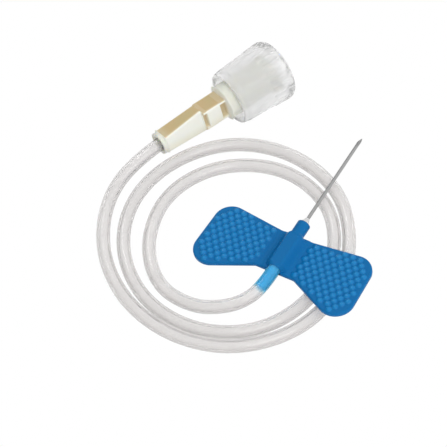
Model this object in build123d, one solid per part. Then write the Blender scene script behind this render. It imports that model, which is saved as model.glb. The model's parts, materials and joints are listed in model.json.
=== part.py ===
from build123d import *
import os
from math import asin, atan, cos, degrees, floor, pi, radians, sin, tan

# Winged needle set: a steel cannula in a blue moulded hub with two folding wings, 300 mm of
# clear soft tube lying in a loose spiral, a female luer hub at the tube's far end, and a clear
# cap over that. Millimetres. The cannula's axis is X = 0 and points along +Y, the right wing
# is on +X, and the surface that everything lies on is Z = 0.

# Cannula
cannula_od = 0.64
cannula_id = 0.34
cannula_exposed = 20.6
cannula_depth = 9.4
bevel_angle = 13.0
lancet_angle = 19.0
lancet_turn = 32.0
bond_gap = 0.02

# Clear bead that fixes the cannula in the nose
bead_length = 1.4
bead_nose_wall = 0.7
bead_tip_wall = 0.06

# Hub: flat web, domed saddle, round nose and rear boss
axis_height = 3.45
hub_under = 1.25
hub_front = 4.75
hub_rear = 3.7
saddle_half_width = 2.3
saddle_side = 0.7
saddle_rise = 1.4
saddle_front = 4.1
saddle_rear = 3.3
saddle_edge = 0.6
nose_radius = 1.25
nose_reach = 2.35
nose_edge = 0.15
flow_radius = 0.4
spigot_clearance = 0.04

# Wings, measured outward from the cannula's axis and forward from the hub's middle
wing_thickness = 0.9
fold_offset = 3.1
fold_front = 4.7
fold_rear = 3.9
web_thickness = 0.44
web_length = 0.8
web_inset = 0.3
web_overlap = 0.1
knuckle_radius = 0.25
knuckle_gap = 0.04
fold_clearance = 0.05
wing_front = 6.1
front_corner_reach = 15.85
front_corner_radius = 3.3
wing_rear = 9.75
rear_corner_reach = 16.4
rear_corner_radius = 3.5
wing_edge = 0.22
mount_reach = 10.9

# Round pips on the wings' upper faces, in staggered rows
pip_radius = 0.43
pip_top_radius = 0.26
pip_height = 0.24
pip_sides = 8
pip_pitch = 1.52
pip_row = 0.96
pip_border = 0.4
pip_start = 4.4
pip_sink = 0.05

# Tube
tube_od = 2.5
tube_id = 1.5
arc_share = 0.45
luer_lead = 4.2

# Female luer hub, along its own axis from the tube's end to the mouth
luer_rear_x = -31.0
luer_rear_y = 8.2
luer_heading = 67.0
luer_slope = 2.5
luer_roll = -20.0
luer_visible = 15.9
luer_hidden = 9.5
collar_radius = 2.15
collar_length = 0.9
stem_side = 3.4
stem_width_front = 2.7
stem_height_front = 4.9
stem_length = 8.4
stem_corner = 0.5
grip_width = 4.1
grip_height = 4.1
grip_length = 5.1
grip_corner = 0.6
pocket_starts = (9.3, 13.0)
pocket_lengths = (0.8, 1.2)
pocket_web = 2.5
pocket_wall = 0.4
barrel_radius = 3.35
lug_radius = 3.9
lug_length = 1.3
lug_angle = 70.0
socket_depth = 5.0
luer_mouth_radius = 2.135
luer_taper_depth = 8.0
luer_taper = 0.06

# Cap, along the same axis from its mouth to its closed end
cap_length = 11.8
cap_rim_radius = 5.25
cap_rim_length = 0.9
cap_mouth_radius = 5.45
cap_end_radius = 5.95
cap_end_edge = 1.3
cap_bore_radius = 4.2
cap_mouth_edge = 0.3
cap_end_wall = 1.4
plug_gap = 0.05
plug_length = 7.4
plug_core_radius = 1.1
plug_core_depth = 6.5
rib_count = 24
rib_width = 0.5
rib_height = 0.12
rib_start = 6.6

# What follows from those sizes
wing_middle = hub_under - wing_thickness / 2
nose_front = hub_front + nose_reach
plate_root = fold_offset + web_length
cannula_tip = nose_front + cannula_exposed + bead_length
cannula_rear = nose_front - cannula_depth
tube_radius = tube_od / 2
bore_radius = tube_id / 2
luer_length = luer_visible + luer_hidden

# The cap's outer side, which the luer hub and the cap lie on
cap_shoulder = cap_rim_length + cap_mouth_radius - cap_rim_radius
cap_gradient = (cap_end_radius - cap_mouth_radius) / (cap_length - cap_shoulder)
rib_end = cap_length - cap_end_edge
rib_radius = cap_end_radius - cap_gradient * (cap_length - rib_start)
rib_end_radius = cap_end_radius - cap_gradient * cap_end_edge
rings = [
    (0, collar_radius),
    (luer_visible + cap_shoulder, cap_mouth_radius),
    (luer_visible + rib_start, rib_radius + rib_height),
    (luer_visible + rib_end, rib_end_radius + rib_height),
]
drops = [radius * cos(radians(luer_slope)) - reach * sin(radians(luer_slope)) for reach, radius in rings]
luer_rear_z = max(drops)

forward = Plane(origin=(0, 0, 0), x_dir=(-1, 0, 0), z_dir=(0, 1, 0))

luer_axis = Vector(
    cos(radians(luer_heading)) * cos(radians(luer_slope)),
    sin(radians(luer_heading)) * cos(radians(luer_slope)),
    sin(radians(luer_slope)),
)
luer_rear_point = Vector(luer_rear_x, luer_rear_y, luer_rear_z)
luer_side = Vector(sin(radians(luer_heading)), -cos(radians(luer_heading)), 0)
luer_frame = Plane(origin=luer_rear_point, x_dir=luer_side, z_dir=luer_axis)
cap_frame = luer_frame.offset(luer_visible)

# Route of the tube's centre line, from the hub's rear boss to the inside of the luer hub.
# The tube lies on the surface but for its first stretch and its last.
floor_height = tube_radius
route = [
    (0.0, -hub_rear, axis_height),
    (0.0, -7.4, axis_height),
    (-1.1, -10.9, 2.75),
    (-3.9, -14.0, 1.9),
    (-9.4, -16.7, floor_height),
    (-17.2, -16.0, floor_height),
    (-23.6, -8.8, floor_height),
    (-25.7, 1.8, floor_height),
    (-20.5, 12.0, floor_height),
    (-10.0, 17.4, floor_height),
    (1.0, 14.9, floor_height),
    (7.6, 5.8, floor_height),
    (8.2, -5.8, floor_height),
    (2.9, -15.8, floor_height),
    (-7.1, -21.0, floor_height),
    (-18.4, -19.7, floor_height),
    (-27.1, -12.2, floor_height),
    (-30.6, -1.6, floor_height),
    (-28.0, 9.2, floor_height),
    (-20.6, 17.8, floor_height),
    (-9.9, 21.0, floor_height),
    (1.1, 18.3, floor_height),
    (8.5, 9.9, floor_height),
    (11.8, -1.5, floor_height),
    (9.1, -12.2, floor_height),
    (1.2, -20.6, floor_height),
    (-9.5, -23.8, floor_height),
    (-20.6, -21.7, floor_height),
    (-29.5, -14.7, floor_height),
    (-34.2, -4.7, 2.0),
    tuple(luer_rear_point - luer_axis * luer_lead),
    tuple(luer_rear_point + luer_axis * socket_depth),
]


def tube_along(start, end, radius):
    """A cylinder on the hub's axis between two distances forward of the hub's middle."""
    return extrude(forward.offset(start) * Circle(radius), amount=end - start)


def bevel_plane(angle, turn):
    """The plane of one ground face, through the needle's point, turned about its axis."""
    plane = Plane(origin=(0, cannula_tip, -cannula_od / 2), x_dir=(1, 0, 0), z_dir=(0, 0, 1))
    spin = Location((0, 0, 0), (0, turn, 0))
    return Plane(spin * plane.rotated((-angle, 0, 0)).location)


def make_cannula():
    """Steel tube with a three-face point: one long bevel and two steeper ones beside its tip."""
    wall = tube_along(cannula_rear, cannula_tip, cannula_od / 2)
    wall -= tube_along(cannula_rear, cannula_tip, cannula_id / 2)
    bevel_length = cannula_od / tan(radians(bevel_angle))
    standing = (Align.CENTER, Align.CENTER, Align.MIN)
    waste = Box(4 * cannula_od, 4 * bevel_length, 4 * cannula_od, align=standing)
    for angle, turn in ((bevel_angle, 0), (lancet_angle, -lancet_turn), (lancet_angle, lancet_turn)):
        wall -= bevel_plane(angle, turn) * waste
    return Location((0, 0, axis_height)) * wall


def make_bead():
    """Clear fillet of adhesive between the nose's face and the cannula."""
    inner = cannula_od / 2 + bond_gap
    with BuildSketch(Plane.XY) as section:
        Polygon(
            (inner, nose_front),
            (inner + bead_nose_wall, nose_front),
            (inner + bead_tip_wall, nose_front + bead_length),
            (inner, nose_front + bead_length),
            align=None,
        )
    bead = revolve(section.sketch, axis=Axis.Y)
    return Location((0, 0, axis_height)) * bead


def saddle_section():
    """Cross-section of the hub's web and dome, seen along the cannula."""
    lip = fold_offset - knuckle_radius / 2
    wall = fold_offset - web_thickness / 2 - fold_clearance
    top = -hub_under + wing_thickness
    shoulder = top + saddle_side
    with BuildSketch(forward) as section:
        with BuildLine():
            Polyline(
                (saddle_half_width, shoulder),
                (saddle_half_width, top),
                (wall, top),
                (wall, -wing_middle),
                (lip, -wing_middle),
                (lip, -hub_under),
                (-lip, -hub_under),
                (-lip, -wing_middle),
                (-wall, -wing_middle),
                (-wall, top),
                (-saddle_half_width, top),
                (-saddle_half_width, shoulder),
            )
            ThreePointArc((-saddle_half_width, shoulder), (0, saddle_rise), (saddle_half_width, shoulder))
        make_face()
    return section.sketch


def make_hub(spigot_path):
    """One moulding: web, domed saddle with bevelled ends, nose, rear boss and curved spigot."""
    block = extrude(saddle_section(), amount=hub_front + hub_rear).moved(Location((0, -hub_rear, 0)))
    top = -hub_under + wing_thickness
    for face_y, reach in ((hub_front, hub_front - saddle_front), (-hub_rear, hub_rear - saddle_rear)):
        step = Box(2 * fold_offset, 2 * reach, 2 * saddle_rise + 2 * hub_under)
        block -= step.moved(Location((0, face_y, top + saddle_rise + hub_under)))
    arcs = block.edges().filter_by(GeomType.CIRCLE)
    ends = arcs.filter_by(lambda edge: edge.center().Z > top and edge.radius > saddle_half_width)
    block = chamfer(ends, saddle_edge)
    nose = chamfer(tube_along(0, nose_front, nose_radius).edges().sort_by(Axis.Y)[-1:], nose_edge)
    block += nose
    block += tube_along(-hub_rear, 0, tube_radius)
    for side in (-1, 1):
        socket = tube_along(-hub_rear, hub_front, knuckle_radius + knuckle_gap)
        block -= socket.moved(Location((side * fold_offset, 0, -wing_middle)))
    hub = hub_frame * block
    spigot_start = Plane(origin=spigot_path @ 0, z_dir=spigot_path % 0)
    hub += sweep(spigot_start * Circle(bore_radius - spigot_clearance), path=spigot_path)
    hub -= sweep(spigot_start * Circle(flow_radius), path=spigot_path)
    rise = Location((0, 0, axis_height))
    hub -= rise * tube_along(-hub_rear, cannula_rear, flow_radius)
    hub -= rise * tube_along(cannula_rear, nose_front, cannula_od / 2 + bond_gap)
    return hub


def wing_outline(root):
    """Outline of a wing from a root outward: straight edges and two rounded corners."""
    with BuildSketch() as outline:
        with BuildLine():
            FilletPolyline(
                (root, fold_front),
                (front_corner_reach, wing_front),
                (rear_corner_reach, -wing_rear),
                (root, -fold_rear),
                radius=[front_corner_radius, rear_corner_radius],
            )
            Line((root, -fold_rear), (root, fold_front))
        make_face()
    return outline.sketch


def pip_places(field):
    """Centres of the pips whose full round lies on the plate, inside its plain border."""
    places = []
    rows = floor((wing_front + wing_rear) / pip_row)
    columns = floor((rear_corner_reach - pip_start) / pip_pitch) + 1
    for row in range(rows + 1):
        v = -wing_rear + row * pip_row
        stagger = pip_pitch / 2 * (row % 2)
        for column in range(columns):
            u = pip_start + stagger + column * pip_pitch
            if field.is_inside((u, v, 0)):
                places.append((u, v))
    return places


def make_wing(side):
    """A wing laid out on +X in the hub's frame, mirrored for the left, pips on its upper face."""
    outline = wing_outline(plate_root)
    plate = extrude(outline, amount=wing_thickness)
    top_edges = plate.faces().sort_by(Axis.Z)[-1].outer_wire().edges()
    rim = top_edges.filter_by(lambda edge: edge.center().X > plate_root + web_overlap)
    plate = fillet(rim, wing_edge)
    plate = plate.moved(Location((0, 0, -hub_under)))
    web = Box(
        web_length + web_overlap,
        fold_front + fold_rear - 2 * web_inset,
        web_thickness,
        align=(Align.MIN, Align.CENTER, Align.CENTER),
    )
    plate += web.moved(Location((fold_offset, (fold_front - fold_rear) / 2, -wing_middle)))
    knuckle = tube_along(web_inset - fold_rear, fold_front - web_inset, knuckle_radius)
    plate += knuckle.moved(Location((fold_offset, 0, -wing_middle)))
    field_root = pip_start - pip_pitch / 2 - pip_border - pip_radius
    inset = offset(wing_outline(field_root), amount=-pip_border - pip_radius)
    field = extrude(inset, amount=1, both=True)
    top = -hub_under + wing_thickness
    pip = loft(
        [
            Plane.XY.offset(-pip_sink) * RegularPolygon(pip_radius, pip_sides),
            Plane.XY.offset(pip_height) * RegularPolygon(pip_top_radius, pip_sides),
        ]
    )
    pips = [pip.moved(Location((u, v, top))) for u, v in pip_places(field)]
    wing = plate + pips
    if side < 0:
        wing = mirror(wing, about=Plane.YZ)
    return hub_frame * wing


def make_tube(path):
    """Clear tube with its bore, over the hub's spigot at one end, in the luer hub's socket at the other."""
    start = Plane(origin=path @ 0, z_dir=path % 0)
    ring = start * (Circle(tube_radius) - Circle(bore_radius))
    return sweep(ring, path=path)


def tapered_block(start, length, low_size, high_size, corner):
    """A four-sided body with rounded corners on the luer's axis, from one size to another."""
    low = Plane.XY.offset(start) * RectangleRounded(*low_size, corner)
    high = Plane.XY.offset(start + length) * RectangleRounded(*high_size, corner)
    return loft([low, high])


def make_luer_hub():
    """Female luer hub: collar, flaring stem, grip with side pockets, round barrel with two lugs."""
    grip_start = collar_length + stem_length
    barrel_start = grip_start + grip_length
    stem_front = (stem_width_front, stem_height_front)
    grip_size = (grip_width, grip_height)
    body = extrude(Circle(collar_radius), amount=collar_length)
    body += tapered_block(collar_length, stem_length, (stem_side, stem_side), stem_front, stem_corner)
    body += tapered_block(grip_start, grip_length, grip_size, grip_size, grip_corner)
    for start, length in zip(pocket_starts, pocket_lengths):
        for side in (-1, 1):
            depth = Align.MAX if side < 0 else Align.MIN
            pocket_height = grip_height - 2 * pocket_wall
            pocket = Box(grip_width, pocket_height, length, align=(depth, Align.CENTER, Align.MIN))
            body -= pocket.moved(Location((side * pocket_web / 2, 0, start)))
    barrel_length = luer_length - barrel_start
    body += Plane.XY.offset(barrel_start) * extrude(Circle(barrel_radius), amount=barrel_length)
    lug_base = luer_length - lug_length
    ring = Plane.XY.offset(lug_base) * extrude(Circle(lug_radius), amount=lug_length)
    lug = ring & sector_of(2 * lug_radius, lug_angle, luer_length)
    body += lug
    body += Rot(0, 0, 180) * lug
    passage = extrude(Circle(bore_radius), amount=luer_length)
    socket = extrude(Circle(tube_radius + bond_gap), amount=socket_depth)
    throat = luer_mouth_radius - luer_taper * luer_taper_depth / 2
    taper_start = luer_length - luer_taper_depth
    taper = Cone(throat, luer_mouth_radius, luer_taper_depth, align=(Align.CENTER, Align.CENTER, Align.MIN))
    body -= passage
    body -= socket
    body -= taper.moved(Location((0, 0, taper_start)))
    return luer_frame * (Rot(0, 0, luer_roll) * body)


def sector_of(radius, angle, height):
    """A sector of a disc, from the X axis round by an angle, extruded to a height."""
    with BuildSketch() as sector:
        with BuildLine():
            Line((0, 0), (radius, 0))
            CenterArc((0, 0), radius, 0, angle)
            Line((radius * cos(radians(angle)), radius * sin(radians(angle))), (0, 0))
        make_face()
    return extrude(sector.sketch, amount=height)


def make_cap():
    """One moulding: ribbed sleeve, closed end, and the tapered hollow plug that seals the luer."""
    with BuildSketch(Plane.XZ) as section:
        with BuildLine():
            Polyline(
                (cap_bore_radius, 0),
                (cap_rim_radius, 0),
                (cap_rim_radius, cap_rim_length),
                (cap_mouth_radius, cap_shoulder),
                (cap_end_radius, cap_length),
                (0, cap_length),
                (0, cap_length - cap_end_wall),
                (cap_bore_radius, cap_length - cap_end_wall),
                (cap_bore_radius, 0),
            )
        make_face()
    shell = revolve(section.sketch, axis=Axis.Z)
    far_edge = shell.edges().filter_by(GeomType.CIRCLE).group_by(Axis.Z)[-1]
    shell = fillet(far_edge, cap_end_edge)
    near_edge = shell.edges().filter_by(GeomType.CIRCLE).group_by(Axis.Z)[0].sort_by(SortBy.RADIUS)[:1]
    shell = chamfer(near_edge, cap_mouth_edge)
    plug_base = cap_length - cap_end_wall
    base_radius = luer_mouth_radius - plug_gap + luer_taper * (plug_base - luer_hidden) / 2
    tip_radius = base_radius - luer_taper * plug_length / 2
    plug = Cone(tip_radius, base_radius, plug_length, align=(Align.CENTER, Align.CENTER, Align.MIN))
    shell += plug.moved(Location((0, 0, plug_base - plug_length)))
    core = Cylinder(plug_core_radius, plug_core_depth, align=(Align.CENTER, Align.CENTER, Align.MAX))
    shell -= core.moved(Location((0, 0, cap_length)))
    rib_low = Plane.XY.offset(rib_start) * Pos(rib_radius, 0) * Rectangle(2 * rib_height, rib_width)
    rib_high = Plane.XY.offset(rib_end) * Pos(rib_end_radius, 0) * Rectangle(2 * rib_height, rib_width)
    rib = loft([rib_low, rib_high])
    for index in range(rib_count):
        shell += Rot(0, 0, 360 / rib_count * index) * rib
    return cap_frame * shell


def corner_radii(points, share=arc_share):
    """Largest arc that each corner's two runs allow."""
    places = [Vector(*point) for point in points]
    radii = []
    for before, corner, after in zip(places, places[1:], places[2:]):
        shorter = min((corner - before).length, (after - corner).length)
        turn = (corner - before).get_angle(after - corner)
        radii.append(share * shorter / tan(radians(turn / 2)))
    return radii


# The left wing's tip lies on the surface, so the hub rolls about the cannula by this much
wing_reach = wing_outline(plate_root).bounding_box().max.X
tip_corner_reach = (wing_reach**2 + hub_under**2) ** 0.5
hub_roll = degrees(asin(axis_height / tip_corner_reach) - atan(hub_under / wing_reach))
hub_frame = Location((0, 0, axis_height), (0, -hub_roll, 0))
print("roll", round(hub_roll, 3), "wing reach", round(wing_reach, 3))

radii = corner_radii(route)
tube_path = FilletPolyline(*route, radius=radii)
spigot_path = Wire(tube_path.edges()[:2])
print("tube radii", [round(radius, 1) for radius in radii])
print("tube length", round(tube_path.length, 1))

tube = make_tube(tube_path)
ring_area = pi * (tube_radius**2 - bore_radius**2)
print("tube volume over section times length", round(tube.volume / (ring_area * tube_path.length), 4))

parts = {
    "cannula": make_cannula(),
    "adhesive_bead": make_bead(),
    "wing_hub": make_hub(spigot_path),
    "left_wing": make_wing(-1),
    "right_wing": make_wing(1),
    "tube": tube,
    "luer_hub": make_luer_hub(),
    "cap": make_cap(),
}

# The origin is under the middle of the needle with its wings, on the surface it lies on
own_names = ("cannula", "adhesive_bead", "wing_hub", "left_wing", "right_wing")
boxes = [parts[name].bounding_box() for name in own_names]
middle_x = (min(box.min.X for box in boxes) + max(box.max.X for box in boxes)) / 2
middle_y = (min(box.min.Y for box in boxes) + max(box.max.Y for box in boxes)) / 2
shift = Location((-middle_x, -middle_y, 0))
lowest = min(box.min.Z for box in boxes)
print("shift", round(-middle_x, 4), round(-middle_y, 4), "lowest", round(lowest, 4))

# Places of the folds, the needle's point and the luer's mouth, from the same origin
places = {
    "left fold": hub_frame * Location((-fold_offset, 0, -wing_middle)),
    "right fold": hub_frame * Location((fold_offset, 0, -wing_middle)),
    "left wing underside": hub_frame * Location((-mount_reach, 0, -hub_under)),
    "cannula middle": Location((0, nose_front + bead_length + cannula_exposed / 2, axis_height)),
    "luer mouth": Location(cap_frame.offset(luer_hidden).origin),
}
for name, place in places.items():
    print(name, [round(value, 4) for value in shift.position + place.position])
print("luer axis", [round(value, 5) for value in luer_axis])

os.makedirs("parts", exist_ok=True)
for name, shape in parts.items():
    export_step(shift * shape, f"parts/{name}.step")
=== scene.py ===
"""A winged needle set, dressed for a picture: blue wings, clear coiled tube, luer hub and cap.

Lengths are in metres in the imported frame, and millimetres are multiplied by MM. The hub's own
frame has u outward to the right wing, v forward along the cannula and w up, from the middle of
the hub on the cannula's axis.
"""
import json
import logging
from dataclasses import dataclass, field
from enum import Enum
from typing import Sequence

import bmesh
import bpy
import numpy as np
from mathutils import Matrix, Vector


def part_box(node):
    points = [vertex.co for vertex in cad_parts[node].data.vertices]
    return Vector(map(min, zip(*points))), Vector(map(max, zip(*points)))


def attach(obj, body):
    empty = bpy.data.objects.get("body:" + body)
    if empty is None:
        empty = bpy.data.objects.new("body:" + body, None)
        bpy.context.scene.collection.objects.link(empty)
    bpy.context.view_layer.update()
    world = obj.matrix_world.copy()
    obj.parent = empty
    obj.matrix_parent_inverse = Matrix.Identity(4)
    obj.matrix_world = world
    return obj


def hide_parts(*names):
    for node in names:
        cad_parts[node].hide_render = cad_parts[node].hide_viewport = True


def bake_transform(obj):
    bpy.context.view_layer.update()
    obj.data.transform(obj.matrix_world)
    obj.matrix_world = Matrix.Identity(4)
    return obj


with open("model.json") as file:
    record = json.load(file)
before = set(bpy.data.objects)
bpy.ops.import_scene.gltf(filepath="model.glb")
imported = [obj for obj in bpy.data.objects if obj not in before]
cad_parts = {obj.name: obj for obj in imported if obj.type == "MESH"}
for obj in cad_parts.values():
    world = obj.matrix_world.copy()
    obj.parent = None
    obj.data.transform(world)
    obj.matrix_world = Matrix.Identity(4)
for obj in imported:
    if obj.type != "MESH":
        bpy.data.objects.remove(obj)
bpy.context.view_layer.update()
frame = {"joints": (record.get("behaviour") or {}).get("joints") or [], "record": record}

MM = 0.001
NOSE_FRONT = 7.1 * MM
LOG = logging.getLogger("needle_set")
Points = np.ndarray
Colour = tuple[float, float, float]
Place = tuple[float, float, float]
Span = tuple[float, float]
Node = bpy.types.Node
Socket = bpy.types.NodeSocket


class Body(str, Enum):
    """The bodies that pieces ride on."""

    ROOT = "root"
    LEFT_WING = "left_wing"
    RIGHT_WING = "right_wing"
    CAP = "cap"


class Side(Enum):
    """Which wing, by the sign of u on its side."""

    LEFT = -1
    RIGHT = 1


def smoothstep(values: Points, low: float, high: float) -> Points:
    """A soft step from 0 at low to 1 at high: three t squared less two t cubed.

    Args:
        values: where the step is read.
        low: value at which the step starts.
        high: value at which the step ends.

    Returns:
        The step's height for each value.
    """
    t = np.clip((values - low) / (high - low), 0.0, 1.0)
    return t * t * (3.0 - 2.0 * t)


def bell(values: Points, centre: float, width: float) -> Points:
    """A smooth bump of height 1: one less the square of the distance over the width, squared."""
    t = np.clip(np.abs((values - centre) / width), 0.0, 1.0)
    return (1.0 - t * t) ** 2


def softened(values: Points, spread: int) -> Points:
    """A running mean along a profile, which rounds its corners and keeps both its ends."""
    padded = np.concatenate([np.full(spread, values[0]), values, np.full(spread, values[-1])])
    kernel = np.ones(2 * spread + 1) / (2 * spread + 1)
    return np.convolve(padded, kernel, mode="valid")


def between(first: Points | float, second: Points | float, share: Points) -> Points:
    """The first value where the share is 0, the second where it is 1, and a mixture between."""
    return first * (1.0 - share) + second * share


def travelled(line: Points) -> Points:
    """Distance covered along a line of points, from 0 at its first."""
    return np.concatenate([[0.0], np.cumsum(np.linalg.norm(np.diff(line, axis=0), axis=1))])


def sampled(line: Points, at: Points) -> Points:
    """Points of a line at distances along it."""
    away = travelled(line)
    return np.stack([np.interp(at, away, column) for column in line.T], axis=-1)


def vertex_values(mesh: bpy.types.Mesh, name: str) -> Points:
    """One vector of every vertex, its place or its normal, as rows of three."""
    values = np.empty(len(mesh.vertices) * 3)
    mesh.vertices.foreach_get(name, values)
    return values.reshape(-1, 3)


def keep_values(mesh: bpy.types.Mesh, **values: Points) -> None:
    """Keeps numbers on the mesh for its material, one for each vertex under each name."""
    for name, numbers in values.items():
        attribute = mesh.attributes.new(name, "FLOAT", "POINT")
        attribute.data.foreach_set("value", numbers.astype(np.float32))


def grid_object(
    name: str, points: Points, wrap_rows: bool = False, close_ends: bool = True
) -> bpy.types.Object:
    """A closed skin over a grid of points, whose columns go round and whose rows go along.

    Args:
        name: the piece's name.
        points: array of rows by columns by three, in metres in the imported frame.
        wrap_rows: whether the last row joins the first, as on a tube with a bore.
        close_ends: whether the first and last rows are filled with a face each.

    Returns:
        The new object, with smooth shading, outward faces and no doubled points.
    """
    rows, columns, _ = points.shape
    index = np.arange(rows * columns).reshape(rows, columns)
    below = index if wrap_rows else index[:-1]
    above = np.roll(index, -1, axis=0) if wrap_rows else index[1:]
    corners = [below, np.roll(below, -1, 1), np.roll(above, -1, 1), above]
    faces = np.stack(corners, axis=-1).reshape(-1, 4).tolist()
    if close_ends and not wrap_rows:
        faces.append(index[0, ::-1].tolist())
        faces.append(index[-1].tolist())
    mesh = bpy.data.meshes.new(name)
    mesh.from_pydata(points.reshape(-1, 3).tolist(), [], faces)
    tidy = bmesh.new()
    tidy.from_mesh(mesh)
    bmesh.ops.remove_doubles(tidy, verts=tidy.verts, dist=1e-8)
    bmesh.ops.dissolve_degenerate(tidy, edges=tidy.edges, dist=1e-8)
    bmesh.ops.recalc_face_normals(tidy, faces=tidy.faces)
    tidy.to_mesh(mesh)
    tidy.free()
    mesh.polygons.foreach_set("use_smooth", np.ones(len(mesh.polygons), bool))
    piece = bpy.data.objects.new(name, mesh)
    bpy.context.scene.collection.objects.link(piece)
    return piece


def turned(radii: Points, heights: Points, angles: Points, place: "AxisFrame") -> Points:
    """Points of a turned body: at each height, round the axis at a radius.

    Args:
        radii: one radius for each height, or heights by angles.
        heights: distances along the axis.
        angles: directions round the axis, in radians.
        place: where the axis lies.

    Returns:
        Array of heights by angles by three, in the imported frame.
    """
    radii = radii if radii.ndim == 2 else radii[:, None] * np.ones(len(angles))
    across = radii * np.cos(angles)
    up = radii * np.sin(angles)
    along = heights[:, None] * np.ones(len(angles))
    return place.world(np.stack([across, up, along], axis=-1))


def ring(count: int) -> Points:
    """Evenly spaced angles round a full turn."""
    return np.linspace(0.0, 2.0 * np.pi, count, endpoint=False)


def stepped(profile: Sequence[Span], step: float, spread: int) -> tuple[Points, Points]:
    """A turned body's outline: straight from point to point, sampled evenly, its corners rounded.

    Args:
        profile: pairs of height and radius, in order along the outline.
        step: distance between samples.
        spread: how many samples each way the corners are rounded over.

    Returns:
        The heights and the radii of the samples.
    """
    corners = np.array(profile, float)
    length = travelled(corners)[-1]
    heights, radii = sampled(corners, np.linspace(0.0, length, max(int(length / step), 8))).T
    return softened(heights, spread), softened(radii, spread)


@dataclass(frozen=True)
class AxisFrame:
    """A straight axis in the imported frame, with two directions across it."""

    origin: Points
    across: Points
    up: Points
    along: Points

    def world(self, local: Points) -> Points:
        """Local across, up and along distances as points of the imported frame."""
        return self.origin + local @ np.stack([self.across, self.up, self.along])

    def rolled(self, angle: float) -> "AxisFrame":
        """The same axis, with the two directions across it turned about it by an angle."""
        cosine, sine = np.cos(angle), np.sin(angle)
        across = cosine * self.across + sine * self.up
        return AxisFrame(self.origin, across, cosine * self.up - sine * self.across, self.along)


@dataclass(frozen=True)
class NodeShader:
    """Builds a material's or a world's nodes: adds a node, links it and sets plain values."""

    owner: bpy.types.Material | bpy.types.World

    @classmethod
    def named(cls, name: str) -> "NodeShader":
        """A fresh material with only its output and one principled shader."""
        material = bpy.data.materials.new(name)
        material.use_nodes = True
        return cls(material)

    @property
    def shader(self) -> Node:
        """The principled shader."""
        return self.owner.node_tree.nodes["Principled BSDF"]

    def add(self, kind: str, values: dict[str, object] | None = None, **settings: object) -> Node:
        """A new node of a kind, with plain values on its sockets and its own settings."""
        node = self.owner.node_tree.nodes.new(f"ShaderNode{kind}")
        for key, setting in settings.items():
            setattr(node, key, setting)
        for key, value in (values or {}).items():
            node.inputs[key].default_value = value
        return node

    def link(self, source: Socket, target: Socket) -> None:
        """Joins two sockets."""
        self.owner.node_tree.links.new(source, target)

    def drive(self, name: str, source: Socket) -> None:
        """Joins a socket to one of the principled shader's own."""
        self.link(source, self.shader.inputs[name])

    def set(self, **values: object) -> None:
        """Plain values on the principled shader's own sockets, spaces written as underscores."""
        for key, value in values.items():
            self.shader.inputs[key.replace("_", " ")].default_value = value

    def attribute(self, name: str) -> Socket:
        """A number that the mesh keeps for each vertex."""
        return self.add("Attribute", attribute_name=name).outputs["Fac"]

    def noise(self, scale: float, detail: float = 3.0, stretch: Place | None = None) -> Socket:
        """Noise on the piece's own coordinates.

        Args:
            scale: how fine it is, in cells a metre.
            detail: how many finer layers it has.
            stretch: factors on the coordinates along X, Y and Z.

        Returns:
            The noise, from 0 to 1.
        """
        place = self.add("TexCoord").outputs["Object"]
        if stretch:
            mapping = self.add("Mapping", {"Scale": stretch})
            self.link(place, mapping.inputs["Vector"])
            place = mapping.outputs["Vector"]
        noise = self.add("TexNoise", {"Scale": scale, "Detail": detail})
        self.link(place, noise.inputs["Vector"])
        return noise.outputs["Fac"]

    def bump(self, height: Socket, strength: float, depth: float) -> None:
        """Raises the surface with a height, by a share of a depth in metres."""
        bump = self.add("Bump", {"Strength": strength, "Distance": depth})
        self.link(height, bump.inputs["Height"])
        self.drive("Normal", bump.outputs["Normal"])

    def mix(
        self, factor: Socket | float, low: Socket | Colour, high: Socket | Colour, **settings: object
    ) -> Socket:
        """A colour between two by a factor, each of the three plain or from another node."""
        blend = self.add("Mix", data_type="RGBA", **settings)
        sockets = (blend.inputs[0], blend.inputs[6], blend.inputs[7])
        for socket, value in zip(sockets, (factor, low, high)):
            if isinstance(value, bpy.types.NodeSocket):
                self.link(value, socket)
            else:
                socket.default_value = value if isinstance(value, float) else (*value, 1.0)
        return blend.outputs[2]

    def spread(self, source: Socket, values: Span, reach: Span = (0.0, 1.0)) -> Socket:
        """A source carried from its reach to a span of values, and held at both ends."""
        names = ("From Min", "From Max", "To Min", "To Max")
        node = self.add("MapRange", dict(zip(names, (*reach, *values))))
        self.link(source, node.inputs["Value"])
        return node.outputs["Result"]

    def math(self, operation: str, first: Socket, second: Socket) -> Socket:
        """Two sockets joined by one operation."""
        node = self.add("Math", operation=operation)
        self.link(first, node.inputs[0])
        self.link(second, node.inputs[1])
        return node.outputs["Value"]


@dataclass(frozen=True)
class BlueVinyl:
    """Soft moulded vinyl: deep blue with a dull sheen, glossier on the pips, with painted highlight
    on their crowns and painted shade between them.
    """

    name: str = "blue_vinyl"
    shaded_valley: Colour = (0.003, 0.155, 0.420)
    crown: Colour = (0.006, 0.235, 0.570)
    roughness: Span = (0.40, 0.2)
    glint: Span = (0.12, 0.30)
    grain_scale: float = 2600.0
    grain_strength: float = 0.5
    grain_depth: float = 0.012 * MM
    scatter: float = 0.08
    scatter_reach: float = 0.4 * MM

    def material(self) -> bpy.types.Material:
        """The vinyl's material: glint and roughness follow the pips' relief, and the colour follows
        it as painted highlight and shade.
        """
        build = NodeShader.named(self.name)
        build.bump(build.noise(self.grain_scale), self.grain_strength, self.grain_depth)
        relief = build.attribute("relief")
        # Painted light: lighter on the pips' crowns as painted highlight, darker between them as
        # painted shade.
        build.drive("Base Color", build.mix(relief, self.shaded_valley, self.crown))
        build.drive("Specular IOR Level", build.spread(relief, self.glint))
        build.drive("Roughness", build.spread(relief, self.roughness))
        build.set(Subsurface_Weight=self.scatter, Subsurface_Scale=self.scatter_reach)
        return build.owner


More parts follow.
